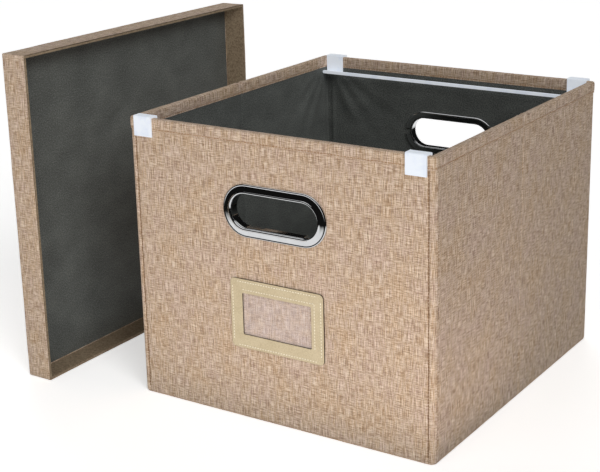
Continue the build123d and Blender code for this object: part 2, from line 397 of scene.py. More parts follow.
@dataclass(frozen=True)
class PowderCoat(Finish):
    """Mild steel strip, white polyester powder coat: satin with a fine orange peel."""

    name: str = "steel_powder_coated"
    tone: str = "#C2CAD5"
    worn: str = "#B9C1CD"
    painted_glow_strength: float = 0.38  # painted glow: emission, so the white coat stays light even in shade
    glow: str = "#F6FAFF"
    glow_worn: str = "#EEF5FF"
    peel: float = 1.4 * MM
    rub: float = 11 * MM

    def paint(self, tree: bpy.types.NodeTree, shader: bpy.types.Node) -> None:
        """Add the peel, faint rubbing and a painted glow."""
        peel = add_node(tree, "TexNoise", {}, {
            "Vector": self.on_solid(tree, self.peel),
            "Scale": 1.0, "Detail": 1.0, "Roughness": 0.5})
        rub = add_node(tree, "TexNoise", {}, {
            "Vector": self.on_solid(tree, self.rub),
            "Scale": 1.0, "Detail": 4.0, "Roughness": 0.5})
        colour = add_node(tree, "ValToRGB", {}, {"Fac": rub}, (
            (0.36, self.worn), (0.52, self.tone)))
        # painted glow: the coat emits light, a little less where rubbed
        glow = add_node(tree, "ValToRGB", {}, {"Fac": rub}, (
            (0.36, self.glow_worn), (0.52, self.glow)))
        bump = add_node(tree, "Bump", {}, {
            "Strength": 0.15, "Distance": 0.08 * MM, "Height": peel})
        rough = add_node(tree, "MapRange", {}, {"Value": rub, "To Min": 0.55,
                                                "To Max": 0.42})
        feed(tree, shader, {
            "Base Color": colour, "Roughness": rough, "Normal": bump,
            "Emission Color": glow, "Emission Strength": self.painted_glow_strength})


@dataclass(frozen=True)
class Leatherette(Finish):
    """PVC-coated cloth, embossed with a fine pebble grain, khaki, satin.

    Its cut edges get painted shade: every face not facing front or back is dark brown.
    """

    name: str = "pvc_leatherette_embossed"
    tone: str = "#D3C5A6"
    valley: str = "#B7A785"
    painted_edge_shade: str = "#3D3226"
    # such grain is typically near 0.6 mm; drawn coarser so that it shows
    pebble: float = 0.9 * MM
    cloud: float = 12 * MM

    def paint(self, tree: bpy.types.NodeTree, shader: bpy.types.Node) -> None:
        """Add the pebble grain, slow shading and painted shade on the edges."""
        cells = add_node(tree, "TexVoronoi", {"feature": "SMOOTH_F1"}, {
            "Vector": self.on_solid(tree, self.pebble), "Scale": 1.0})
        slow = add_node(tree, "TexNoise", {}, {
            "Vector": self.on_solid(tree, self.cloud),
            "Scale": 1.0, "Detail": 3.0, "Roughness": 0.5})
        mix = add_node(tree, "Math", {"operation": "MULTIPLY"}, {0: slow, 1: 0.3})
        mix = add_node(tree, "Math", {"operation": "MULTIPLY_ADD"},
                       {0: cells, 1: 0.45, 2: mix})
        grain = add_node(tree, "ValToRGB", {}, {"Fac": mix}, (
            (0.2, self.tone), (0.62, self.valley)))
        # painted shade: faces turned away from front and back take the dark edge colour
        facing = add_node(tree, "SeparateXYZ", {}, {
            0: add_node(tree, "TexCoord").outputs["Normal"]})
        front = add_node(tree, "Math", {"operation": "ABSOLUTE"}, {0: facing.outputs["Y"]})
        face = add_node(tree, "MapRange", {}, {"Value": front, "From Min": 0.3,
                                               "From Max": 0.75})
        colour = add_node(tree, "Mix", {"data_type": "RGBA"}, {
            0: face, 6: linear(self.painted_edge_shade), 7: grain})
        bump = add_node(tree, "Bump", {"invert": True}, {
            "Strength": 0.45, "Distance": 0.15 * MM, "Height": cells})
        rough = add_node(tree, "MapRange", {}, {"Value": cells, "To Min": 0.42,
                                                "To Max": 0.6})
        feed(tree, shader, {"Base Color": colour.outputs[2], "Roughness": rough,
                            "Normal": bump})


@dataclass(frozen=True)
class ClearFilm(Finish):
    """Calendered PVC film: clear, faintly milky, with soft handling scuffs."""

    name: str = "pvc_film_clear"
    tone: str = "#FDF8FF"
    milky: str = "#F4EEF6"
    scuff: float = 9 * MM

    def paint(self, tree: bpy.types.NodeTree, shader: bpy.types.Node) -> None:
        """Add scuffs that dull the gloss and haze the film a little."""
        scuff = add_node(tree, "TexNoise", {}, {
            "Vector": self.on_solid(tree, self.scuff),
            "Scale": 1.0, "Detail": 5.0, "Roughness": 0.5})
        veil = add_node(tree, "MapRange", {}, {
            "Value": scuff, "From Min": 0.35, "From Max": 0.75, "To Min": 0.08,
            "To Max": 0.17})
        rough = add_node(tree, "MapRange", {}, {"Value": scuff, "To Min": 0.12,
                                                "To Max": 0.4})
        colour = add_node(tree, "ValToRGB", {}, {"Fac": scuff}, (
            (0.35, self.tone), (0.7, self.milky)))
        feed(tree, shader, {"Base Color": colour, "Alpha": veil, "Roughness": rough})


@dataclass(frozen=True)
class SewingThread(Finish):
    """Spun polyester sewing thread, twisted from two plies, dull."""

    name: str = "polyester_thread_tan"
    tone: str = "#B98F66"
    dark: str = "#8B6848"
    ply: float = 0.9 * MM
    dye: float = 5 * MM

    def paint(self, tree: bpy.types.NodeTree, shader: bpy.types.Node) -> None:
        """Add the twist of the plies and some uneven dye."""
        twist = add_node(tree, "TexWave", {"bands_direction": "DIAGONAL"}, {
            "Vector": self.on_cloth(tree, self.ply, self.ply), "Scale": 1.0,
            "Distortion": 1.0})
        dye = add_node(tree, "TexNoise", {}, {
            "Vector": self.on_cloth(tree, self.dye, self.dye, 2.2),
            "Scale": 1.0, "Detail": 2.0, "Roughness": 0.5})
        mix = add_node(tree, "Math", {"operation": "MULTIPLY"}, {0: dye, 1: 0.6})
        mix = add_node(tree, "Math", {"operation": "MULTIPLY_ADD"},
                       {0: twist.outputs["Fac"], 1: 0.4, 2: mix})
        colour = add_node(tree, "ValToRGB", {}, {"Fac": mix}, (
            (0.25, self.dark), (0.7, self.tone)))
        feed(tree, shader, {"Base Color": colour, "Roughness": 0.8})


@dataclass(frozen=True)
class Chipboard(Finish):
    """Grey recycled millboard, rolled and cut: dull, with dark and pale fibres."""

    name: str = "millboard_rolled"
    dark: str = "#7C6A55"
    pale: str = "#A8977F"
    fibre: float = 2 * MM

    def paint(self, tree: bpy.types.NodeTree, shader: bpy.types.Node) -> None:
        """Add the fibres."""
        fibre = add_node(tree, "TexNoise", {}, {
            "Vector": self.on_solid(tree, self.fibre),
            "Scale": 1.0, "Detail": 4.0, "Roughness": 0.7})
        colour = add_node(tree, "ValToRGB", {}, {"Fac": fibre}, (
            (0.35, self.dark), (0.65, self.pale)))
        bump = add_node(tree, "Bump", {}, {
            "Strength": 0.3, "Distance": 0.2 * MM, "Height": fibre})
        feed(tree, shader, {"Base Color": colour, "Roughness": 0.95, "Normal": bump})


@dataclass(frozen=True)
class StudioFloor(Finish):
    """Opal acrylic table, lit a little from below so that it stays white."""

    name: str = "studio_table_opal"
    tone: str = "#FBFBFB"
    dull: str = "#F7F7F6"
    light: str = "#FFFFFF"
    glow: float = 0.5
    cloud: float = 0.4

    def paint(self, tree: bpy.types.NodeTree, shader: bpy.types.Node) -> None:
        """Add a barely uneven white."""
        patch = add_node(tree, "TexNoise", {}, {
            "Vector": self.on_solid(tree, self.cloud),
            "Scale": 1.0, "Detail": 2.0, "Roughness": 0.5})
        colour = add_node(tree, "ValToRGB", {}, {"Fac": patch}, (
            (0.3, self.dull), (0.7, self.tone)))
        feed(tree, shader, {
            "Base Color": colour, "Roughness": 0.9, "Specular IOR Level": 0.0,
            "Emission Color": linear(self.light), "Emission Strength": self.glow})


LINEN = SlubLinen()
LINING = FeltLining()
CHROME = Chrome()
STEEL = PowderCoat()
LEATHER = Leatherette()
FILM = ClearFilm()
TAN_THREAD = SewingThread()
CREAM_THREAD = SewingThread("polyester_thread_cream", "#FFFBEE", "#E9DFC4")
BROWN_THREAD = SewingThread("polyester_thread_brown", "#A08060", "#7A5D44")
BOARD = Chipboard()


# --------------------------------------------------------------- cloth cutting


@dataclass(frozen=True)
class Oval:
    """A slot-shaped outline on a wall: a flat-sided oval, centred at u, v."""

    u: float
    v: float
    half_u: float
    half_v: float

    def _axis(self, u: float) -> float:
        """Return the nearest place on the oval's middle line."""
        reach = self.half_u - self.half_v
        return min(max(u, self.u - reach), self.u + reach)

    def gap(self, u: float, v: float) -> float:
        """Return the distance outside the outline, below zero inside it."""
        return math.hypot(u - self._axis(u), v - self.v) - self.half_v

    def snapped(self, u: float, v: float) -> Vector:
        """Return the point of the outline nearest to u, v."""
        away = Vector((u - self._axis(u), v - self.v))
        edge = away.normalized() * self.half_v
        return Vector((self._axis(u) + edge.x, self.v + edge.y, 0.0))

    def at(self, run: float, offset: float) -> Vector:
        """Return the point a run along the outline, moved out by offset.

        Args:
            run: metres along the outline itself, from the right end's lowest point.
            offset: metres outwards.
        """
        flat, arc = 2 * (self.half_u - self.half_v), math.pi * self.half_v
        half = flat + arc
        turn, run = (0.0, run) if run <= half else (math.pi, run - half)
        angle = turn - math.pi / 2 + min(run, arc) / self.half_v
        along = flat / 2 - max(run - arc, 0.0)
        sign = 1.0 if turn == 0.0 else -1.0
        reach = self.half_v + offset
        return Vector((self.u + sign * along + reach * math.cos(angle),
                       self.v + reach * math.sin(angle)))

    @property
    def length(self) -> float:
        """Return the outline's length."""
        return 4 * (self.half_u - self.half_v) + 2 * math.pi * self.half_v

    @property
    def area(self) -> float:
        """Return the area inside the outline."""
        return (4 * (self.half_u - self.half_v) * self.half_v
                + math.pi * self.half_v ** 2)


Place = Callable[[float, float], Vector]


@dataclass
class Cloth:
    """One piece of cloth: its cut, where each point of it lies, and its finish."""

    name: str
    across: Sequence[float]
    up: Sequence[float]
    place: Place
    finish: Finish = LINEN
    thickness: float = 0.5 * MM
    side: Side = Side.OUT
    hole: Oval | None = None
    closed: bool = False
    v_from: float = 0.0

    def cut(self) -> bmesh.types.BMesh:
        """Return the flat cloth, its corners at the stations, with the hole cut out."""
        bm = bmesh.new()
        columns, rows = len(self.across) - 1, len(self.up) - 1
        bmesh.ops.create_grid(bm, x_segments=columns, y_segments=rows, size=1.0)
        for vert in bm.verts:
            i = round((vert.co.x + 1) / 2 * columns)
            j = round((vert.co.y + 1) / 2 * rows)
            vert.co = Vector((self.across[i], self.up[j], 0.0))
        if self.hole:
            gone = [f for f in bm.faces
                    if self.hole.gap(*f.calc_center_median().xy) < 0]
            bmesh.ops.delete(bm, geom=gone, context="FACES")
            for vert in bm.verts:
                if vert.is_boundary and self.hole.gap(*vert.co.xy) < 8 * MM:
                    vert.co = self.hole.snapped(*vert.co.xy)
        return bm

    def build(self) -> bpy.types.Object:
        """Return the finished piece, wrapped into place."""
        bm = self.cut()
        layer = bm.loops.layers.uv.new(CLOTH_UV)
        for face in bm.faces:
            face.smooth = True
            for loop in face.loops:
                loop[layer].uv = (loop.vert.co.x, loop.vert.co.y + self.v_from)
        for vert in bm.verts:
            vert.co = self.place(vert.co.x, vert.co.y)
        if self.closed:
            bmesh.ops.remove_doubles(bm, verts=bm.verts, dist=1e-6)
        if self.side is Side.IN:
            bmesh.ops.reverse_faces(bm, faces=bm.faces)
        for edge in bm.edges:
            edge.smooth = not edge.is_boundary
        obj = to_object(self.name, bm)
        if self.thickness:
            shell = obj.modifiers.new("cloth thickness", "SOLIDIFY")
            shell.thickness, shell.offset = self.thickness, -1.0
        return self.finish.dress(obj)

    def declare(self, obj: bpy.types.Object, rests_on: Sequence[str]) -> None:
        """Take the cloth and what it is stretched over; nothing is stated or recorded."""


def to_object(name: str, bm: bmesh.types.BMesh) -> bpy.types.Object:
    """Turn a finished bmesh into a linked object of that name."""
    mesh = bpy.data.meshes.new(name)
    bm.to_mesh(mesh)
    bm.free()
    obj = bpy.data.objects.new(name, mesh)
    bpy.context.scene.collection.objects.link(obj)
    return obj


@dataclass(frozen=True)
class Stitch:
    """Where one stitch lies: its middle, its direction, the way out, and its run."""

    middle: Vector
    along: Vector
    out: Vector
    run: float


@dataclass
class Stitching:
    """A row of sewn stitches, each a plump dash of thread."""

    name: str
    spots: Sequence[Stitch]
    length: float = 2.5 * MM
    thick: float = 0.62 * MM
    finish: Finish = TAN_THREAD

    def build(self) -> bpy.types.Object:
        """Return all the stitches as one piece."""
        bm = bmesh.new()
        layer = bm.loops.layers.uv.new(CLOTH_UV)
        for spot in self.spots:
            across = spot.along.cross(spot.out).normalized()
            turn = Matrix((across, spot.out, spot.along)).transposed().to_4x4()
            size = Matrix.Diagonal((self.thick / 2, self.thick / 2, self.length / 2, 1.0))
            made = bmesh.ops.create_uvsphere(
                bm, u_segments=6, v_segments=5, radius=1.0,
                matrix=Matrix.Translation(spot.middle) @ turn @ size)
            for face in {f for v in made["verts"] for f in v.link_faces}:
                face.smooth = True
                for loop in face.loops:
                    off = loop.vert.co - spot.middle
                    loop[layer].uv = (spot.run + off.dot(spot.along), off.dot(across))
        return self.finish.dress(to_object(self.name, bm))


# ------------------------------------------------------------------- the walls


@dataclass(frozen=True)
class Outline:
    """Plan outline of the bin's outer faces, run anticlockwise seen from above.

    The run starts at the front wall's left end, where its left corner's arc stops.
    """

    core_x: float
    core_y: float
    radius: float
    inner_radius: float = 0.5 * MM

    @property
    def arc(self) -> float:
        """Return the length of one corner's arc."""
        return math.pi / 2 * self.radius

    @property
    def total(self) -> float:
        """Return the length all the way round."""
        return 4 * (self.core_x + self.core_y + self.arc)

    def front(self, x: float) -> float:
        """Return the run to a place on the front wall."""
        return x + self.core_x

    def right(self, y: float) -> float:
        """Return the run to a place on the right wall."""
        return 2 * self.core_x + self.arc + y + self.core_y

    def back(self, x: float) -> float:
        """Return the run to a place on the back wall."""
        return 3 * self.core_x + 2 * (self.arc + self.core_y) - x

    def left(self, y: float) -> float:
        """Return the run to a place on the left wall."""
        return 4 * self.core_x + 3 * (self.arc + self.core_y) - y

    def arcs(self) -> list[tuple[float, float]]:
        """Return the runs where the corner arcs start and stop, round twice."""
        starts = [self.front(self.core_x), self.right(self.core_y),
                  self.back(-self.core_x), self.left(-self.core_y)]
        return [(a + turn, a + turn + self.arc) for turn in (-self.total, 0.0)
                for a in starts]

    def at(self, run: float, depth: float) -> tuple[Vector, Vector]:
        """Return the point and the outward normal at a run.

        Args:
            run: metres along the outer outline.
            depth: metres inwards from the wall's outer face.
        """
        run %= self.total
        lengths = (2 * self.core_x, self.arc, 2 * self.core_y, self.arc) * 2
        part = 0
        while part < 7 and run > lengths[part]:
            run -= lengths[part]
            part += 1
        wall, on_arc = divmod(part, 2)
        angle = math.pi / 2 * (wall - 1 + (run / self.arc if on_arc else 0.0))
        normal = Vector((math.cos(angle), math.sin(angle), 0.0))
        if on_arc:
            core = Vector((self.core_x * (1, 1, -1, -1)[wall],
                           self.core_y * (-1, 1, 1, -1)[wall], 0.0))
        else:
            reach = self.core_x if wall % 2 else self.core_y
            along = Vector((-normal.y, normal.x, 0.0))
            core = normal * reach + along * (run - lengths[part] / 2)
        bend = max(self.radius - depth, self.inner_radius)
        less = depth + bend - self.radius
        core = Vector((core.x * (1 - less / self.core_x),
                       core.y * (1 - less / self.core_y), 0.0))
        return core + normal * bend, normal


@dataclass(frozen=True)
class Section:
    """A run of wall cloth that keeps to one body, or reaches across one soft line between
    two.
    """

    name: str
    start: float
    end: float
    bodies: tuple[str, ...]
    walls: tuple[str, ...]
    soft: tuple[str, ...] = ()
    bend_from: tuple[float, float, float] = (0.0, 0.0, 0.0)
    bend_to: tuple[float, float, float] = (0.0, 0.0, 0.0)

    def attach(self, obj: bpy.types.Object) -> bpy.types.Object:
        """Join a piece on one body to that body; a piece on two bodies only has its
        placement baked in.
        """
        if len(self.bodies) == 2:
            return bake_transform(obj)
        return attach(obj, self.bodies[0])

    def nodes(self, layer: str) -> list[str]:
        """Return the frame's nodes for one layer of this section's walls."""
        return [f"{wall}_{layer}" for wall in self.walls]


@dataclass
class Walls:
    """The bin's walls: linen skin, lining, rim band and the stitching on it."""

    half_w: float = field(default_factory=lambda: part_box("right_front_outer_cloth")[1].x)
    half_d: float = field(default_factory=lambda: -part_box("front_outer_cloth")[0].y)
    height: float = field(default_factory=lambda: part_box("front_board")[1].z)
    fold_z: float = field(default_factory=lambda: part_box("left_front_board")[0].z)
    pivot_y: float = field(default_factory=lambda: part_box("left_rear_board")[1].y)
    floor_z: float = 0.3 * MM
    corner: float = 3.4 * MM
    lining_depth: float = 4.95 * MM
    crease_half: float = 1.5 * MM
    lap: float = 2 * MM  # how far the corner cloth reaches onto the boarded front
    outline: Outline = field(init=False)
    grip: Oval = field(init=False)
    label: Oval = field(init=False)
    band_line: list[Vector] = field(init=False)
    band_up: list[float] = field(init=False)

    # the rim band's section, from its outer hem over the rim to its inner hem:
    # millimetres in from the outer face, and up from the boards' top
    BAND = ((0.15, -10.9), (-0.5, -10.6), (-0.8, -10.0), (-0.3, -9.2), (-0.9, -8.2),
            (-1.0, -6.2), (-1.0, -3.6), (-0.95, -1.5), (-0.7, -0.35), (-0.2, 0.35),
            (0.8, 0.72), (2.5, 0.85), (4.2, 0.72), (5.2, 0.35), (5.7, -0.35),
            (5.95, -1.5), (6.0, -3.6), (6.0, -6.2), (5.85, -8.2), (5.4, -9.2),
            (5.7, -10.0), (5.5, -10.6), (4.85, -10.9))
    SEAM_OUT, SEAM_IN = (-0.42, -9.2), (5.45, -9.2)
    PITCH = 3.3 * MM
    CELL, LINING_CELL, LINING_ROW = 6 * MM, 3 * MM, 3.5 * MM
    ARC_CELL, EDGE_CELL, CREASE_CELL = 0.6 * MM, 0.5 * MM, 0.75 * MM
    HEM_ROW, HEM_TALL = 0.6 * MM, 2.4 * MM  # fine rows over the rolled bottom edge
    FINE_REACH = 6 * MM  # how far fine stations reach beside an arc or a crease
    CROWDED = 0.3 * MM  # stations nearer than this become one
    WELT_NEAR, WELT_FAR = 2.6 * MM, 2.4 * MM  # the welt's two seams, from the arc's ends
    WELT_RISE, WELT_GROOVE = 0.8 * MM, 1.1 * MM
    CREASE_GROOVE = 0.55 * MM
    HEM_ROLL = 1.1 * MM
    LABEL_PRESS = 0.25 * MM
    SKIN_THICK, LINING_THICK = 0.6 * MM, 0.4 * MM
    SKIN_SPARE, LINING_SPARE = 5 * MM, 6 * MM  # cloth left under each grip ring

    def __post_init__(self) -> None:
        """Work out the outline and the flat places kept for grips and label."""
        self.outline = Outline(self.half_w - self.corner, self.half_d - self.corner,
                               self.corner)
        low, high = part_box("front_grip_ring")
        self.grip = Oval((low.x + high.x) / 2, (low.z + high.z) / 2,
                         (high.x - low.x) / 2, (high.z - low.z) / 2)
        low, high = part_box("label_frame")
        self.label = Oval((low.x + high.x) / 2, (low.z + high.z) / 2,
                          (high.x - low.x) / 2, (high.z - low.z) / 2)
        self.band_line = curve_through([(d * MM, z * MM) for d, z in self.BAND], 2)
        self.band_up = [0.0]
        for a, b in pairwise(self.band_line):
            self.band_up.append(self.band_up[-1] + (b - a).length)

    def sections(self) -> list[Section]:
        """Return the seven runs of cloth, in order round the bin."""
        o, lap, crease = self.outline, self.lap, self.crease_half
        end = self.pivot_y + 0.1 * MM
        wait = end + 0.4 * MM
        turn = o.core_y - 1.0 * MM
        x = self.half_w
        return [
            Section("front", lap, o.front(o.core_x) - lap, ("bin_front",), ("front",)),
            Section("right_front", o.front(o.core_x) - lap, o.right(-crease),
                    ("bin_front", "right_front_half"), ("right_front",),
                    ("corner_front_right",), (x, -turn, 0.0), (x, -wait, 0.0)),
            Section("right_rear", o.right(-crease), o.right(end),
                    ("right_front_half", "right_rear_half"), ("right_rear",),
                    ("crease_right",), (x, -crease, 0.0), (x, crease, 0.0)),
            Section("back", o.right(end), o.back(lap - o.core_x), ("back_wall",),
                    ("back",), ("corner_rear_right",)),
            Section("rear_left_corner", o.back(lap - o.core_x), o.left(end),
                    ("left_rear_half", "back_wall"), (), ("corner_rear_left",),
                    (-x, wait, 0.0), (-x, turn, 0.0)),
            Section("left_rear", o.left(end), o.left(-crease),
                    ("left_front_half", "left_rear_half"), ("left_rear",),
                    ("crease_left",), (-x, -crease, 0.0), (-x, crease, 0.0)),
            Section("left_front", o.left(-crease), o.total + lap,
                    ("bin_front", "left_front_half"), ("left_front",),
                    ("corner_front_left",), (-x, -turn, 0.0), (-x, -wait, 0.0)),
        ]

    def stations(self, start: float, end: float) -> list[float]:
        """Return where the cloth's columns stand between two runs."""
        marks = steps(start, end, self.CELL)
        for low, high in self.outline.arcs():
            marks += [m for m in steps(low, high, self.ARC_CELL) if start < m < end]
            for edge in (low - self.FINE_REACH, high):
                marks += [m for m in steps(edge, edge + self.FINE_REACH, self.EDGE_CELL)
                          if start < m < end]
        for crease in (self.outline.right(0.0), self.outline.left(0.0)):
            marks += [m for m in steps(crease - self.FINE_REACH, crease + self.FINE_REACH,
                                       self.CREASE_CELL) if start < m < end]
        return self.thinned(marks, start, end)

    def thinned(self, marks: Sequence[float], start: float, end: float) -> list[float]:
        """Return the marks in order from start to end, without the crowded ones."""
        kept = merged(marks, self.CROWDED)
        return [start, *(m for m in kept[1:] if m < end - self.CROWDED), end]

    def crease_gap(self, run: float) -> float:
        """Return how far a run is from the nearer middle crease."""
        return min(abs(run - self.outline.right(0.0)), abs(run - self.outline.left(0.0)))

    def calm(self, run: float, z: float) -> float:
        """Return how free the cloth is to ripple: 0 beside fittings, bands and corners."""
        point, _ = self.outline.at(run, 0.0)
        free = smooth(0.0, 28 * MM, self.height - 11 * MM - z) * smooth(0.0, 20 * MM, z)
        if abs(abs(point.y) - self.half_d) < 1e-5:
            free *= smooth(2 * MM, 20 * MM, self.grip.gap(point.x, z))
            if point.y < 0:
                free *= smooth(1 * MM, 12 * MM, self.label.gap(point.x, z))
        for low, high in self.outline.arcs():
            free *= smooth(0.0, 14 * MM, max(low - run, run - high, 0.0))
        return free * smooth(0.5 * MM, 12 * MM, self.crease_gap(run))

    def welt(self, run: float) -> float:
        """Return how far the sewn seam beside each front corner stands out."""
        out = 0.0
        for index, (low, high) in enumerate(self.outline.arcs()):
            if index % 4 in (1, 2):
                continue
            turn = 1 if index % 4 == 0 else -1
            near, far = (high, low) if turn > 0 else (low, high)
            out += self.WELT_RISE * hump(run - near - turn * 0.6 * MM, 1.1 * MM)
            for groove in (near + turn * self.WELT_NEAR, far - turn * self.WELT_FAR):
                out -= self.WELT_GROOVE * hump(run - groove, 0.6 * MM)
        return out

    def skin_at(self, run: float, z: float) -> Vector:
        """Return where a point of the linen skin lies, pressed flat behind the label."""
        slack = (0.34 + 0.42 * ripple(run, z, 0.085, 0.07, 1.5)
                 + 0.16 * ripple(run, z, 0.026, 0.03, 9.5)) * MM
        out = max(slack, 0.0) * self.calm(run, z)
        out += self.welt(run) * smooth(self.height - 4 * MM, self.height - 12 * MM, z)
        out -= self.CREASE_GROOVE * hump(self.crease_gap(run), 1.3 * MM)
        roll = max(0.0, 1 - (z - self.floor_z) / (1.6 * MM))
        out -= self.HEM_ROLL * roll * roll
        if run < self.outline.front(self.outline.core_x):
            pressed = 1 - smooth(0.0, 8 * MM, self.label.gap(run - self.outline.core_x, z))
            out -= self.LABEL_PRESS * pressed
        point, _ = self.outline.at(run, -out)
        return Vector((point.x, point.y, z))

    def lining_at(self, run: float, z: float) -> Vector:
        """Return where a point of the lining lies: slack, with shallow wrinkles."""
        drag = ripple(run + z * 0.7, z - run * 0.5, 0.05, 0.018, 3.2)
        slack = (0.4 + 0.5 * ripple(run, z, 0.07, 0.09, 5.5) + 0.4 * drag) * MM
        depth = self.lining_depth + min(max(slack, 0.0), 1.1 * MM) * self.calm(run, z)
        depth += self.puckers(run, z)
        depth -= 0.9 * MM * hump(self.crease_gap(run), 1.2 * MM)
        point, _ = self.outline.at(run, depth)
        return Vector((point.x, point.y, z))

    def puckers(self, run: float, z: float) -> float:
        """Return the folds that fan down from where each corner of the lining is sewn."""
        depth = 0.0
        for low, high in self.outline.arcs():
            off, drop = abs(run - (low + high) / 2), self.height - z
            if off > 110 * MM or drop > 130 * MM:
                continue
            lean = math.atan2(off, drop + 1 * MM)
            reach = math.hypot(off, drop)
            fade = smooth(6 * MM, 24 * MM, reach) * smooth(120 * MM, 50 * MM, reach)
            folds = hump(lean - 0.5, 0.09) + 0.8 * hump(lean - 0.78, 0.08) + 0.6 * hump(
                lean - 1.05, 0.07)
            depth += 1.7 * MM * fade * folds * smooth(10 * MM, 20 * MM, drop)
            depth += 0.9 * MM * hump(off - 9 * MM, 1.8 * MM) * smooth(
                12 * MM, 30 * MM, drop)
        return depth

    def band_at(self, run: float, t: float) -> Vector:
        """Return where a point of the rim band lies, a length t over its section."""
        index = min(range(len(self.band_up)), key=lambda i: abs(self.band_up[i] - t))
        depth, rise = self.band_line[index]
        pinch = hump(self.crease_gap(run), 1.7 * MM)
        swell = hump(self.crease_gap(run) - 4.5 * MM, 2.0 * MM)
        top = smooth(-11 * MM, 0.0, rise)
        rise += top * (0.45 * swell - 1.5 * pinch) * MM
        wave = 0.22 * MM * ripple(run, depth * 8, 0.04, 0.05, 2.5)
        out = 1.0 if depth < 2.5 * MM else -1.0
        depth += out * (0.35 * pinch * MM + max(wave, 0.0) * (1 - top))
        point, _ = self.outline.at(run, depth)
        return Vector((point.x, point.y, self.height + rise - 0.12 * MM * top
                       * (1 + ripple(run, 0.0, 0.05, 1.0, 8.0))))

    def seam(self, section: Section, mark: tuple[float, float],
             out: Side) -> list[Stitch]:
        """Return the stitches along the band on one face of a section.

        Args:
            section: the run of wall.
            mark: millimetres in from the outer face and up from the boards' top.
            out: which face of the wall the stitches show on.
        """
        spots = []
        first = math.ceil(section.start / self.PITCH)
        for k in range(first, math.floor((section.end - 1e-4) / self.PITCH) + 1):
            run = (k + 0.5) * self.PITCH
            if self.crease_gap(run) < 1.5 * MM:
                continue
            point, normal = self.outline.at(run, mark[0] * MM)
            middle = Vector((point.x, point.y, self.height + mark[1] * MM))
            spots.append(Stitch(middle, Vector((-normal.y, normal.x, 0.0)),
                                normal * out.value, run))
        return spots

    def corner_seams(self) -> bpy.types.Object:
        """Return the stitches down both front corners, either side of each welt."""
        o, spots = self.outline, []
        right, left = o.front(o.core_x), o.total
        runs = (right - self.WELT_FAR, right + o.arc + self.WELT_NEAR,
                left + self.WELT_FAR, left - o.arc - self.WELT_NEAR)
        for run in runs:
            point, normal = o.at(run, 0.35 * MM)
            for z in steps(7 * MM, self.height - 13 * MM, 3.0 * MM):
                spots.append(Stitch(Vector((point.x, point.y, z)), Vector((0, 0, 1)),
                                    normal, z))
        return Stitching("front_corner_seam_stitches", spots, 2.7 * MM, 0.9 * MM,
                         BROWN_THREAD).build()

    def hole(self, section: Section, spare: float) -> Oval | None:
        """Return the grip hole in a section's cloth, or None."""
        if section.name not in ("front", "back"):
            return None
        run = self.outline.front if section.name == "front" else self.outline.back
        return Oval(run(self.grip.u), self.grip.v, self.grip.half_u - spare,
                    self.grip.half_v - spare)

    def build(self) -> None:
        """Build and dress every run of wall cloth."""
        for section in self.sections():
            low = self.floor_z if section.name == "front" else self.fold_z - 0.1 * MM
            across = self.stations(section.start, section.end)
            skin_rows = [*steps(low, low + self.HEM_TALL, self.HEM_ROW)[:-1],
                         *steps(low + self.HEM_TALL, self.height - 3 * MM, self.CELL)]
            self.finish_piece(section, Cloth(
                f"{section.name}_linen_skin", across, skin_rows, self.skin_at,
                thickness=self.SKIN_THICK, hole=self.hole(section, self.SKIN_SPARE)),
                section.nodes("outer_cloth") + list(section.soft))
            low = self.fold_z - 0.1 * MM
            fine = self.thinned(
                [*across, *steps(section.start, section.end, self.LINING_CELL)],
                section.start, section.end)
            self.finish_piece(section, Cloth(
                f"{section.name}_lining_cloth", fine,
                steps(low, self.height - 6 * MM, self.LINING_ROW), self.lining_at, LINING,
                self.LINING_THICK, Side.IN, self.hole(section, self.LINING_SPARE)),
                section.nodes("lining"))
            self.finish_piece(section, Cloth(
                f"{section.name}_rim_band", across, self.band_up, self.band_at,
                v_from=self.height), section.nodes("binding"))
            for face, mark, out in (("outer", self.SEAM_OUT, Side.OUT),
                                    ("inner", self.SEAM_IN, Side.IN)):
                row = Stitching(f"{section.name}_band_stitches_{face}",
                                self.seam(section, mark, out)).build()
                section.attach(row)
        attach(self.corner_seams(), "bin_front")
        LOG.info("walls: %d runs of skin, lining, band and stitching",
                 len(self.sections()))

    def finish_piece(self, section: Section, cloth: Cloth, nodes: Sequence[str]) -> None:
        """Build one cloth, join it to its body, and hide the frame's nodes it stands for.
        """
        obj = cloth.build()
        section.attach(obj)
        if nodes:
            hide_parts(*nodes)
        boards = section.nodes("board") or list(section.soft)
        cloth.declare(obj, boards)

    def hem(self) -> None:
        """Build the hem between the folding walls and the floor."""
        start, end = self.outline.front(self.outline.core_x) - self.lap, (
            self.outline.total + self.lap)
        cloth = Cloth("bottom_hem_cloth", self.stations(start, end),
                      steps(self.floor_z, self.fold_z - 0.1 * MM, 0.65 * MM),
                      self.skin_at)
        obj = cloth.build()
        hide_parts("bottom_hem")
        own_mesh(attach(obj, "bin_front"))
        LOG.info("hem: bottom_hem_cloth")


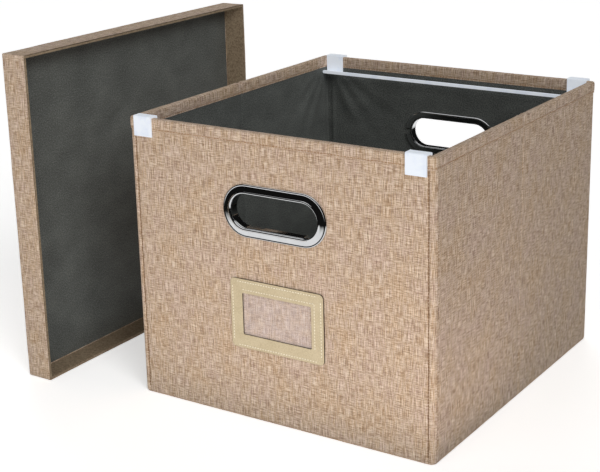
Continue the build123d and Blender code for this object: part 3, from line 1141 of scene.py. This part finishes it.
@dataclass
class Panel:
    """A flat cushion-like panel: a rounded slab with soft faces."""

    name: str
    node: str
    finish: Finish
    corner: float
    edge: float
    slack: float
    top: float
    cell: float = 12 * MM

    def build(self) -> bpy.types.Object:
        """Return the panel, filling its node's box up to the given top."""
        low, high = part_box(self.node)
        high = Vector((high.x, high.y, self.top))
        size, middle = high - low, (high + low) / 2
        bm = bmesh.new()
        bmesh.ops.create_cube(bm, size=1.0, matrix=Matrix.Translation(middle)
                              @ Matrix.Diagonal((*size, 1.0)))
        upright = [e for e in bm.edges
                   if abs(e.verts[0].co.z - e.verts[1].co.z) > size.z / 2]
        bmesh.ops.bevel(bm, geom=upright, offset=self.corner, affect="EDGES", segments=6,
                        profile=0.5, material=-1)
        rims = [e for e in bm.edges if len({f.normal.z > 0.5 for f in e.link_faces}) == 2
                or len({f.normal.z < -0.5 for f in e.link_faces}) == 2]
        bmesh.ops.bevel(bm, geom=rims, offset=self.edge, affect="EDGES", segments=3,
                        profile=0.5, material=-1)
        for axis in (0, 1):
            normal = Vector((1.0 - axis, axis, 0.0))
            for at in steps(low[axis], high[axis], self.cell)[1:-1]:
                spot = Vector((at, at, 0.0))
                bmesh.ops.bisect_plane(bm, geom=[*bm.verts, *bm.edges, *bm.faces],
                                       plane_co=spot, plane_no=normal, dist=1e-6)
        layer = bm.loops.layers.uv.new(CLOTH_UV)
        for face in bm.faces:
            face.smooth = True
            for loop in face.loops:
                co = loop.vert.co
                loop[layer].uv = (co.x + co.z, co.y + co.z)
        for vert in bm.verts:
            inside = min(high.x - abs(vert.co.x), high.y - abs(vert.co.y))
            share = smooth(2 * MM, 25 * MM, inside)
            if vert.co.z > middle.z:
                wave = ripple(vert.co.x, vert.co.y, 0.06, 0.08, 6.0)
                vert.co.z -= self.slack * share * (0.5 + 0.5 * wave)
        return self.finish.dress(to_object(self.name, bm))


@dataclass
class Base:
    """The underside cloth and the loose lined insert that stiffens the floor."""

    def build(self) -> None:
        """Build and dress both."""
        low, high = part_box("floor_cloth")
        under = Panel("floor_under_cloth", "floor_cloth", LINEN, 5 * MM, 0.25 * MM,
                      0.1 * MM, high.z).build()
        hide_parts("floor_cloth")
        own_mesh(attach(under, "bin_front"))
        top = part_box("base_cover")[1].z + 0.35 * MM
        cover = Panel("base_insert_cover", "base_cover", LINING, 5.6 * MM, 1.3 * MM,
                      0.5 * MM, top).build()
        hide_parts("base_cover")
        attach(cover, "base_insert")
        BOARD.dress(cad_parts["base_board"])
        LOG.info("base: floor_under_cloth, base_insert_cover")


# ------------------------------------------------------------------ the fittings


@dataclass
class Grip:
    """One chrome grip: a dished ring with two rolled lips and a sleeve."""

    prefix: str
    body: str
    side: float  # -1 on the front wall, 1 on the back wall
    hand_u: float = 45.5 * MM
    hand_v: float = 15.5 * MM

    # millimetres out from the hand hole's edge and out from the wall's face
    LIP = ((0.0, -7.0), (0.0, -4.0), (0.0, -1.0), (0.05, 0.9), (0.4, 2.1), (1.0, 2.95),
           (1.7, 3.3), (2.4, 3.15), (3.0, 2.65), (3.8, 2.4), (5.2, 2.12), (6.6, 1.78),
           (7.5, 1.62), (8.1, 1.75), (8.7, 1.7), (9.2, 1.25), (9.45, 0.6), (9.5, 0.04))
    UNDER = ((5.0, 0.04), (1.25, 0.04), (1.25, -3.5), (1.2, -7.0), (0.0, -7.0))

    def build(self) -> None:
        """Build the ring, and polish the two clips that lock it inside."""
        low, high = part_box(f"{self.prefix}_grip_ring")
        wall = self.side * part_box("back_outer_cloth")[1].y
        hole = Oval((low.x + high.x) / 2, (low.z + high.z) / 2, self.hand_u, self.hand_v)
        line = [*curve_through(self.LIP, 3), *(Vector(p) for p in self.UNDER)]
        flat = 2 * (hole.half_u - hole.half_v)
        bend = math.pi * hole.half_v
        around = merged([*steps(0, bend, bend / 30), *steps(bend, bend + flat, flat / 4),
                         *steps(bend + flat, 2 * bend + flat, bend / 30),
                         *steps(2 * bend + flat, hole.length, flat / 4)], 1e-5)
        around[-1] = hole.length

        def place(run: float, t: float) -> Vector:
            """Return where a point of the ring's section lies."""
            out, rise = line[round(t)]
            spot = hole.at(run, out * MM)
            return Vector((spot.x, wall + self.side * rise * MM, spot.y))

        ring = Cloth(f"{self.prefix}_grip_lipped_ring", around,
                     [float(i) for i in range(len(line))], place, CHROME, 0.0,
                     Side.OUT if self.side > 0 else Side.IN, closed=True).build()
        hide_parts(f"{self.prefix}_grip_ring")
        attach(ring, self.body)
        for half in ("upper", "lower"):
            CHROME.dress(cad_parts[f"{self.prefix}_grip_clip_{half}"])
        LOG.info("grip: %s_grip_lipped_ring and two clips", self.prefix)


@dataclass
class Rails:
    """Two hanging-file rails, each a bar and two strip hooks."""

    def build(self) -> None:
        """Coat every bar and hook."""
        for end in ("front", "rear"):
            for part in ("bar", "hook_left", "hook_right"):
                STEEL.dress(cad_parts[f"{end}_rail_{part}"])
            LOG.info("rail: %s_rail bar and hooks", end)


@dataclass
class LabelHolder:
    """The stitched leatherette frame and its clear film."""

    window_w: float = 74 * MM
    window_h: float = 40 * MM
    outer_in: float = 2.6 * MM
    inner_out: float = 3.6 * MM
    pitch: float = 2.9 * MM
    corner: float = 4.5 * MM

    def row(self, a: Vector, b: Vector, y: float) -> list[Stitch]:
        """Return stitches along a straight line from a to b on the frame's face."""
        along = (b - a).normalized()
        count = round((b - a).length / self.pitch)
        return [Stitch(a.lerp(b, (i + 0.5) / count), along, Vector((0.0, -1.0, 0.0)),
                       i * self.pitch + y) for i in range(count)]

    def build(self) -> None:
        """Dress the frame and film and sew the frame's edges."""
        LEATHER.dress(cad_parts["label_frame"])
        FILM.dress(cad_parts["label_film"])
        low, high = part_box("label_frame")
        y = low.y - 0.02 * MM
        x0, x1 = low.x + self.outer_in, high.x - self.outer_in
        z0, z1 = low.z + self.outer_in, high.z - self.outer_in
        cut = self.corner
        spots = [*self.row(Vector((x0 + cut, y, z0)), Vector((x1 - cut, y, z0)), y),
                 *self.row(Vector((x1, y, z0 + cut)), Vector((x1, y, z1 - cut)), y),
                 *self.row(Vector((x1 - cut, y, z1)), Vector((x0 + cut, y, z1)), y),
                 *self.row(Vector((x0, y, z1 - cut)), Vector((x0, y, z0 + cut)), y)]
        mid = (low + high) / 2
        top = mid.z + self.window_h / 2 + self.inner_out
        end = mid.x + self.window_w / 2 + self.inner_out
        spots += [*self.row(Vector((mid.x - self.window_w / 2, y, top)),
                            Vector((end, y, top)), y),
                  *self.row(Vector((end, y, top)),
                            Vector((end, y, mid.z - self.window_h / 2)), y)]
        row = Stitching("label_frame_stitches", spots, 2.0 * MM, 0.85 * MM,
                        CREAM_THREAD).build()
        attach(row, "bin_front")
        LOG.info("label: frame, film and %d stitches", len(spots))


# ----------------------------------------------------------------------- the lid


@dataclass
class Lid:
    """The tray lid on its long edge: linen over board, lined inside."""

    rim: float = 3.5 * MM
    round_off: float = 1.3 * MM
    cell: float = 9 * MM
    rim_cell: float = 5 * MM
    lining_cell: float = 8 * MM
    lining_inset: float = 0.6 * MM

    def shell(self) -> bpy.types.Object:
        """Return the linen skin, a shallow tray open towards +X."""
        low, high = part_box("lid_cloth")
        floor_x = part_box("lid_lining")[0].x
        size, middle = high - low, (high + low) / 2
        bm = bmesh.new()
        bmesh.ops.create_cube(bm, size=1.0, matrix=Matrix.Translation(middle)
                              @ Matrix.Diagonal((*size, 1.0)))
        mouth = max(bm.faces, key=lambda f: f.calc_center_median().x)
        bmesh.ops.inset_region(bm, faces=[mouth], thickness=self.rim)
        bmesh.ops.translate(bm, verts=mouth.verts, vec=Vector((floor_x - high.x, 0, 0)))
        bm.normal_update()
        sharp = [e for e in bm.edges if e.calc_face_angle(0.0) > 0.5]
        bmesh.ops.bevel(bm, geom=sharp, offset=self.round_off, affect="EDGES", segments=3,
                        profile=0.5, material=-1)
        for axis in (1, 2):
            normal = Vector((0.0, 2.0 - axis, axis - 1.0))
            for at in steps(low[axis], high[axis], self.cell)[1:-1]:
                bmesh.ops.bisect_plane(bm, geom=[*bm.verts, *bm.edges, *bm.faces],
                                       plane_co=Vector((0, at, at)), plane_no=normal,
                                       dist=1e-6)
        for at in steps(floor_x, high.x, self.rim_cell)[1:-1]:
            bmesh.ops.bisect_plane(bm, geom=[*bm.verts, *bm.edges, *bm.faces],
                                   plane_co=Vector((at, 0, 0)), plane_no=Vector((1, 0, 0)),
                                   dist=1e-6)
        bm.normal_update()
        layer = bm.loops.layers.uv.new(CLOTH_UV)
        for face in bm.faces:
            face.smooth = True
            flat = max(range(3), key=lambda k: abs(face.normal[k]))
            for loop in face.loops:
                co = loop.vert.co
                loop[layer].uv = ((co.y, co.z), (co.x + 0.7, co.z),
                                  (co.y, co.x + 0.9))[flat]
        moved = {}
        for vert in bm.verts:
            co = vert.co
            wave = (0.28 * ripple(co.y + co.x, co.z, 0.06, 0.06, 4.1)
                    + 0.1 * ripple(co.y, co.z + co.x, 0.02, 0.02, 7.7)) * MM
            moved[vert] = co + vert.normal * wave
        for vert, co in moved.items():
            vert.co = co
        return LINEN.dress(to_object("lid_linen_skin", bm))

    def lining(self) -> Cloth:
        """Return the grey lining glued into the tray."""
        low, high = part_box("lid_lining")
        inset, cell = self.lining_inset, self.lining_cell

        def place(y: float, z: float) -> Vector:
            """Return where a point of the lining lies."""
            edge = min(y - low.y, high.y - y, z - low.z, high.z - z)
            free = smooth(1 * MM, 30 * MM, edge)
            wave = (0.5 + 0.4 * ripple(y, z, 0.09, 0.08, 2.0)
                    + 0.3 * ripple(y + z * 0.6, z, 0.03, 0.05, 6.6)) * MM
            lift = 0.25 * MM + max(wave, 0.0) * free
            return Vector((high.x + lift, y, z))

        return Cloth("lid_lining_cloth", steps(low.y + inset, high.y - inset, cell),
                     steps(low.z + inset, high.z - inset, cell), place, LINING, 0.6 * MM)

    def build(self) -> None:
        """Build and dress the lid."""
        shell = self.shell()
        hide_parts("lid_cloth")
        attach(shell, "lid")
        cloth = self.lining()
        lining = cloth.build()
        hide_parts("lid_lining")
        cloth.declare(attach(lining, "lid"), ["lid_panel_board"])
        LOG.info("lid: lid_linen_skin, lid_lining_cloth")


# ------------------------------------------------------------------- the studio


@dataclass
class Sun:
    """A large soft light far enough away to be even over the whole table."""

    name: str
    azimuth: float  # degrees round from the front wall's side towards the right wall
    elevation: float
    strength: float
    softness: float
    tone: str = "#FFFFFF"

    def build(self) -> None:
        """Hang the light and point it at the bin."""
        lamp = bpy.data.lights.new(self.name, "SUN")
        lamp.energy = self.strength * math.pi
        lamp.angle = math.radians(self.softness)
        lamp.color = linear(self.tone)[:3]
        turn, rise = math.radians(self.azimuth), math.radians(self.elevation)
        back = Vector((math.sin(turn) * math.cos(rise), -math.cos(turn) * math.cos(rise),
                       math.sin(rise)))
        obj = bpy.data.objects.new(self.name, lamp)
        obj.rotation_mode = "QUATERNION"
        obj.rotation_quaternion = (-back).to_track_quat("-Z", "Y")
        obj.visible_glossy = False
        bpy.context.scene.collection.objects.link(obj)


@dataclass
class Softbox:
    """A white card or cloth box that throws even light from close by."""

    name: str
    at: tuple[float, float, float]
    facing: tuple[float, float, float]
    size: tuple[float, float]
    glow: float
    tone: str = "#FFFFFF"

    def build(self) -> None:
        """Stand the box in its place, facing its way."""
        lamp = bpy.data.lights.new(self.name, "AREA")
        lamp.shape, (lamp.size, lamp.size_y) = "RECTANGLE", self.size
        lamp.energy = self.glow * math.pi * self.size[0] * self.size[1]
        lamp.color = linear(self.tone)[:3]
        obj = bpy.data.objects.new(self.name, lamp)
        obj.location = self.at
        obj.rotation_mode = "QUATERNION"
        obj.rotation_quaternion = Vector(self.facing).to_track_quat("-Z", "Y")
        obj.visible_glossy = obj.visible_camera = False
        bpy.context.scene.collection.objects.link(obj)


@dataclass
class Studio:
    """Pale floor, soft lights and the camera."""

    camera_at: tuple[float, float, float] = (0.6700, -1.1318, 0.5622)
    yaw: float = -32.87
    pitch: float = 16.94
    roll: float = -1.19
    lens: float = 83.83
    shift: tuple[float, float] = (-0.0335, -0.0413)
    ambient: float = 0.18

    def floor(self) -> None:
        """Lay the floor."""
        bm = bmesh.new()
        bmesh.ops.create_grid(bm, x_segments=4, y_segments=4, size=9.0)
        bmesh.ops.translate(bm, verts=bm.verts, vec=Vector((0, 0, -0.2 * MM)))
        floor = StudioFloor().dress(to_object("studio_floor", bm))
        floor.visible_glossy = floor.visible_diffuse = False

    def world(self) -> None:
        """Set the pale room, which gloss sees as dark walls over a white table."""
        world = bpy.data.worlds.new("studio_room")
        world.use_nodes = True
        bpy.context.scene.world = world
        tree = world.node_tree
        tree.nodes.clear()
        place = add_node(tree, "TexCoord")
        split = add_node(tree, "SeparateXYZ", {}, {0: place.outputs["Generated"]})
        height = add_node(tree, "MapRange", {}, {"Value": split.outputs["Z"],
                                                 "From Min": -1.0, "From Max": 1.0})
        mirror = add_node(tree, "ValToRGB", {}, {"Fac": height}, (
            (0.27, "#FFFFFF"), (0.30, "#D8D8D6"), (0.335, "#161615"), (0.85, "#121212"),
            (0.895, "#F4F4F4")))
        rays = add_node(tree, "LightPath")
        room = add_node(tree, "Background", {}, {"Color": linear("#FFFFFF"),
                                                 "Strength": self.ambient})
        gloss = add_node(tree, "Background", {}, {"Color": mirror, "Strength": 1.0})
        seen = add_node(tree, "Background", {}, {"Color": linear("#FFFFFF"),
                                                 "Strength": 1.0})
        both = add_node(tree, "MixShader", {}, {
            0: rays.outputs["Is Glossy Ray"], 1: room, 2: gloss})
        both = add_node(tree, "MixShader", {}, {
            0: rays.outputs["Is Camera Ray"], 1: both, 2: seen})
        add_node(tree, "OutputWorld", {}, {"Surface": both})

    def camera(self) -> None:
        """Set the camera from its place, yaw, pitch and roll."""
        yaw, pitch, roll = (math.radians(v) for v in (self.yaw, self.pitch, self.roll))
        ahead = Vector((math.sin(yaw) * math.cos(pitch), math.cos(yaw) * math.cos(pitch),
                        -math.sin(pitch)))
        level = Vector((math.cos(yaw), -math.sin(yaw), 0.0))
        top = level.cross(ahead)
        right = level * math.cos(roll) + top * math.sin(roll)
        up = top * math.cos(roll) - level * math.sin(roll)
        lens = bpy.data.cameras.new("studio_camera")
        lens.lens, lens.sensor_width = self.lens, 36.0
        lens.shift_x, lens.shift_y = self.shift
        lens.clip_start, lens.clip_end = 0.05, 50.0
        obj = bpy.data.objects.new("studio_camera", lens)
        turn = Matrix((right, up, -ahead)).transposed().to_4x4()
        obj.matrix_world = Matrix.Translation(self.camera_at) @ turn
        bpy.context.scene.collection.objects.link(obj)
        bpy.context.scene.camera = obj

    def build(self) -> None:
        """Set up the whole studio."""
        self.camera()
        self.floor()
        self.world()
        for light in (
            Sun("key_front_right", 58.0, 33.0, 0.42, 28.0),
            Sun("back_left_light", 215.0, 30.0, 0.26, 40.0),
            Softbox("low_front_box", (0.05, -1.2, 0.19), (0.0, 1.0, 0.0), (1.5, 0.42), 3.3,
                    "#FFFCF8"),
            Softbox("card_front", (0.1, -0.42, 3 * MM), (0.0, 0.0, 1.0), (0.5, 0.4), 0.95,
                    "#FFF1E9"),
            Softbox("card_right", (0.32, -0.17, 3 * MM), (0.0, 0.0, 1.0), (0.24, 0.3), 1.0,
                    "#FFEEE6"),
        ):
            light.build()
        view = bpy.context.scene.view_settings
        view.view_transform, view.look = "Standard", "None"


def main() -> None:
    """Build the studio, then each part of the bin in order."""
    logging.basicConfig(level=logging.INFO, format="%(name)s %(message)s")
    Studio().build()
    for name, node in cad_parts.items():
        if name.endswith("_board") or "_rim_board_" in name:
            BOARD.dress(node)
    walls = Walls()
    walls.build()
    walls.hem()
    Base().build()
    Grip("front", "bin_front", -1.0).build()
    Grip("back", "back_wall", 1.0).build()
    Rails().build()
    LabelHolder().build()
    Lid().build()


if __name__ == "__main__":
    main()
